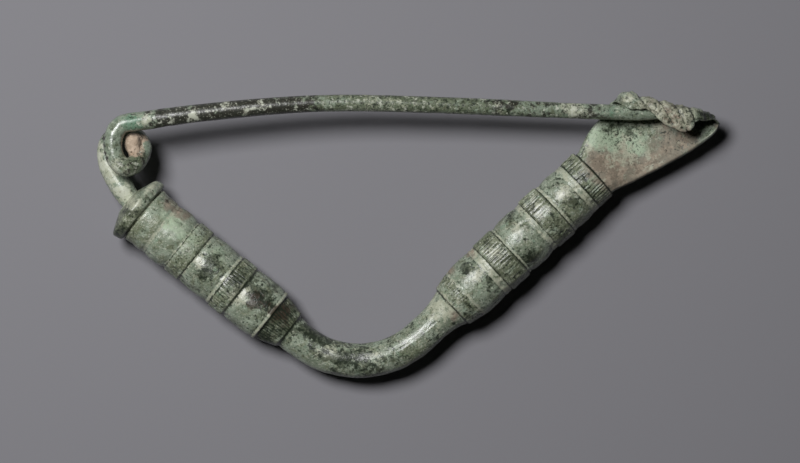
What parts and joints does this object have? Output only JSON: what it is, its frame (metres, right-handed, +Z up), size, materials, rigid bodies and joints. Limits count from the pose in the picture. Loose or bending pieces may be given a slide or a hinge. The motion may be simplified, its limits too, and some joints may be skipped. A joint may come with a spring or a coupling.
{
  "type": "fibula brooch",
  "caption": "Elbow-shaped bronze dress fastener: beaded cast bow, coiled wire spring and pin, and a ribbed catch that folds over the pin's point.",
  "frame": {"origin": "centre of the footprint, on the surface that the brooch lies on", "axes": "+X from the coil to the catch, +Y from the elbow to the pin, +Z up through the brooch's flat side"},
  "size_m": [0.0932, 0.0428, 0.0108],
  "materials": {
    "bow_bronze": "cast bronze under a matt to waxy grey-green patina",
    "wire_bronze": "drawn bronze wire under a smooth dark green-grey patina"
  },
  "bodies": {
    "bow": {"bow": "bow_bronze", "spring": "wire_bronze"},
    "pin": {"pin": "wire_bronze"}
  },
  "joints": [
    {"name": "pin_spring", "type": "hinge", "parent": "bow", "child": "pin", "pos_m": [-0.04209, 0.01338, 0.00715], "axis": [0, 0, 1], "range_deg": [-3.4, 0], "stiffness_Nm_per_rad": 1, "springref_deg": 1.15}
  ]
}
